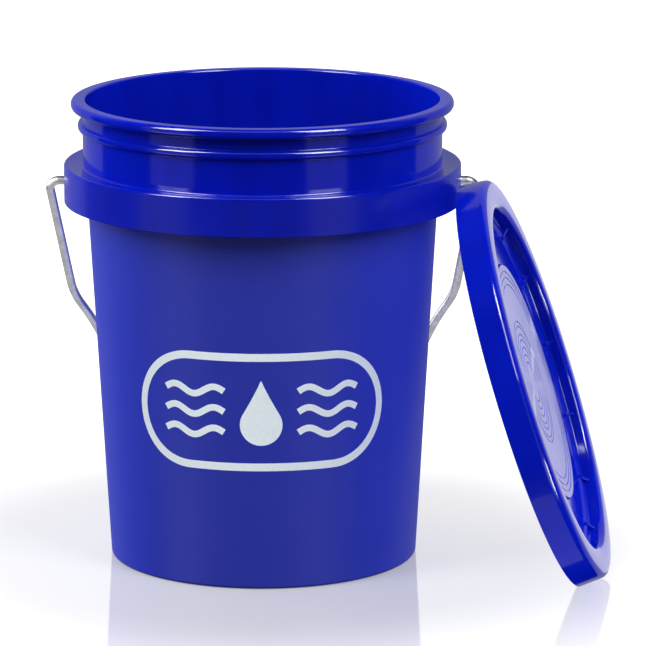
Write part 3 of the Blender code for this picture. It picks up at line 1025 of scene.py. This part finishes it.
def panel(name, centre, azimuth, distance, height, size, radiance, **shown):
    """A soft light at this azimuth and distance from the pail's axis, turned towards the pail."""
    place = centre + distance * heading(azimuth) + Vector((0, 0, height))
    return soft_light(name, place, centre + Vector((0, 0, AIM_HEIGHT)), size, radiance, **shown)


def shaded_by(light, blockers):
    """These pieces alone shade the light."""
    light.light_linking.blocker_collection = bpy.data.collections.new(light.name + "_blockers")
    for piece in blockers:
        light.light_linking.blocker_collection.objects.link(piece)


def only_for(light, receiver, blockers):
    """The light falls on the receiver alone, and the blockers alone shade it."""
    light.light_linking.receiver_collection = bpy.data.collections.new(light.name + "_receiver")
    light.light_linking.receiver_collection.objects.link(receiver)
    shaded_by(light, blockers)


def make_floor(centre):
    """A pale, faintly glossy floor with a painted glow, faint near the object and rising to white
    away from it. Only the camera sees it."""
    material = bpy.data.materials.new("pale_floor")
    material.use_nodes = True
    nodes, links = material.node_tree.nodes, material.node_tree.links
    main = nodes["Principled BSDF"]
    main.inputs["Base Color"].default_value = (*FLOOR_COLOUR, 1.0)
    main.inputs["Roughness"].default_value = FLOOR_ROUGHNESS
    main.inputs["IOR"].default_value = FLOOR_IOR
    main.inputs["Emission Color"].default_value = (1.0, 1.0, 1.0, 1.0)
    coordinates = nodes.new("ShaderNodeTexCoord")
    distance = nodes.new("ShaderNodeVectorMath")
    distance.operation = "LENGTH"
    fade = nodes.new("ShaderNodeMapRange")
    fade.interpolation_type = "SMOOTHSTEP"
    for key, value in zip(("From Min", "From Max", "To Min", "To Max"), FLOOR_FADE):
        fade.inputs[key].default_value = value
    links.new(coordinates.outputs["Object"], distance.inputs[0])
    links.new(distance.outputs["Value"], fade.inputs["Value"])
    # Painted glow: the emission is weak near the pail and rises to white farther out.
    links.new(fade.outputs["Result"], main.inputs["Emission Strength"])
    place = centre - Vector((0, 0, FLOOR_DROP))
    circle = bpy.ops.mesh.primitive_circle_add
    circle(vertices=96, radius=FLOOR_RADIUS, fill_type="NGON", location=place)
    floor = bpy.context.object
    floor.name = "floor"
    floor.visible_glossy = False
    floor.visible_diffuse = False
    floor.data.materials.append(material)
    return floor


def make_dome(centre):
    """The white that the camera sees beyond the floor. It lights nothing."""
    sphere = bpy.ops.mesh.primitive_uv_sphere_add
    sphere(segments=48, ring_count=24, radius=DOME_RADIUS, location=centre)
    dome = bpy.context.object
    dome.name = "dome"
    dome.data.materials.append(glow_material("dome_white", 1.0))
    only_reflected(dome)
    dome.visible_camera = True
    dome.visible_glossy = False


def make_world():
    """White all round, except in reflections, which see only the cards and lights."""
    world = bpy.data.worlds.new("studio")
    world.use_nodes = True
    background = world.node_tree.nodes["Background"]
    background.inputs["Color"].default_value = (1.0, 1.0, 1.0, 1.0)
    background.inputs["Strength"].default_value = WORLD_RADIANCE
    world.cycles_visibility.glossy = False
    bpy.context.scene.world = world


def make_cards(centre):
    """A backdrop, and on each side a card with a brighter one below it."""
    where = (centre, BACKDROP_DISTANCE, BACK_AZIMUTHS, BACKDROP_HEIGHTS)
    reflector("backdrop", *where, BACKDROP_RADIANCE)
    for side, azimuths in (("left", LEFT_AZIMUTHS), ("right", RIGHT_AZIMUTHS)):
        where = (centre, CARD_DISTANCE, azimuths)
        reflector(side + "_card", *where, CARD_HEIGHTS, CARD_RADIANCE)
        reflector(side + "_mirrored", *where, MIRRORED_HEIGHTS, MIRRORED_RADIANCE)


def light_pail(centre, pail, steel):
    """The soft boxes, which the lid doesn't shade, and the pail's own lights:
    glints where the soft boxes are, a line along its rims, and light from the sides."""
    blockers = [pail, steel]
    for side, azimuths in (("left", LEFT_AZIMUTHS), ("right", RIGHT_AZIMUTHS)):
        where = (centre, sum(azimuths) / 2, SOFTBOX_DISTANCE, SOFTBOX_RISE, SOFTBOX_SIZE)
        shaded_by(panel(side + "_soft", *where, SOFTBOX_RADIANCE), blockers)
        only_for(panel(side + "_glint", *where, GLINT_RADIANCE, diffuse=False), pail, blockers)
    line = panel("rim_line", centre, 0, 1.3, 2.6, (4.5, 0.9), 1.7, diffuse=False)
    only_for(line, pail, blockers)
    for name, (azimuth, radiance) in EDGE_LIGHTS.items():
        where = (centre, azimuth, EDGE_DISTANCE, EDGE_RISE, EDGE_SIZE)
        only_for(panel(name, *where, radiance, glossy=False), pail, blockers)


def light_floor(centre, floor, blockers):
    """A white face behind the object, which the floor alone mirrors."""
    mirrored = panel("floor_mirrored", centre, 180, 8.5, 1.8, (12.0, 6.0), 1.0, diffuse=False)
    only_for(mirrored, floor, blockers)


def light_lid(centre, lid):
    """A pale face that the lid's disc mirrors, light from below and from the right, a haze from
    the floor's side, and two small bright lights for the streaks on its crown."""
    aim = centre + Vector((0.2, 0, 0.1))
    low = centre + Vector((0.0, -0.9, -2.2))
    under = centre + Vector((0.1, -0.5, -2.4))
    streak = (STREAK_SIZE, STREAK_RADIANCE)
    lights = [
        panel("lid_sheen", centre, 163, 8.4, -1.25, (2.2, 2.4), 0.63, diffuse=False),
        soft_light("lid_low", low, aim, (2.4, 2.4), 4.4, glossy=False),
        panel("lid_right", centre, 105, 3.0, 1.4, (2.4, 2.4), 6.5, glossy=False),
        soft_light("lid_haze", under, aim, (2.5, 3.0), 0.35, diffuse=False),
        panel("streak_high", centre, 35, 1.5, 2.7, *streak, diffuse=False),
        panel("streak_low", centre, 62, 2.9, -0.7, *streak, diffuse=False),
    ]
    for light in lights:
        only_for(light, lid, [lid])


def light_steel(centre, steel):
    """White from below, where a floor would be, from the front and from the left."""
    under = centre - Vector((0, 0, 1.6))
    lights = [
        soft_light("steel_below", under, centre, (5.0, 5.0), 0.6),
        panel("steel_front", centre, -40, 4.0, 1.0, (7.0, 5.0), 0.65),
        panel("steel_left", centre, -95, 3.0, 0.8, (3.0, 3.0), 2.4),
    ]
    for light in lights:
        only_for(light, steel, [steel])


def make_studio(centre, pail, lid, steel):
    """Cards and lights. Many lights act on one piece alone, as retouching does in a picture."""
    make_world()
    make_dome(centre)
    floor = make_floor(centre)
    make_cards(centre)
    top = centre + Vector(TOP_PLACE)
    soft_light("top_soft", top, centre, TOP_SIZE, TOP_RADIANCE, glossy=False)
    light_pail(centre, pail, steel)
    light_floor(centre, floor, [pail, lid, steel])
    light_lid(centre, lid)
    light_steel(centre, steel)


def make_camera(centre):
    """The camera, and the plain colour handling that the colours above are meant for."""
    camera = bpy.data.cameras.new("camera")
    camera.angle = radians(CAMERA_FIELD_DEG)
    obj = bpy.data.objects.new("camera", camera)
    bpy.context.scene.collection.objects.link(obj)
    obj.location = centre + Vector(CAMERA_PLACE)
    obj.rotation_euler = (radians(90 - CAMERA_PITCH_DEG), 0, 0)
    bpy.context.scene.camera = obj
    bpy.context.scene.view_settings.view_transform = "Standard"
    bpy.context.scene.view_settings.look = "None"


# ---- All together -----------------------------------------------------------------------------


def main():
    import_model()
    low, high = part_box("bucket_body")
    centre = Vector(((low.x + high.x) / 2, (low.y + high.y) / 2, 0))
    place = Matrix.Translation(centre)
    tilt_back = Matrix.Rotation(radians(90 - BAIL_DROP_DEG), 4, "X")
    pivot = place @ Matrix.Translation((0, 0, EAR_HEIGHT)) @ tilt_back
    spindle = pivot @ Matrix.Translation((0, 0, -BAIL_REACH)) @ Matrix.Rotation(pi / 2, 4, "Y")
    lid_place = place @ lid_matrix()

    pail_blue = moulded_plastic("pail_blue", BLUE, DEEP_BLUE, NECK_ROUGHNESS, SATIN_STEPS)
    lid_blue = moulded_plastic("lid_blue", BLUE, DEEP_BLUE, LID_ROUGHNESS)
    grip_blue = moulded_plastic("grip_blue", DEEP_BLUE, DEEP_BLUE, GRIP_ROUGHNESS)
    pail = make_pail(place, high.z, (high.x - low.x) / 2, pail_blue)
    steel = make_bail(pivot, galvanised_steel())
    make_grip(spindle, grip_blue)
    lid = make_lid(lid_place, lid_blue)
    make_gasket(lid_place, soft_rubber())
    make_emblem(place, printed_ink())

    make_camera(centre)
    make_studio(centre, pail, lid, steel)

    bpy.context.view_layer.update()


main()
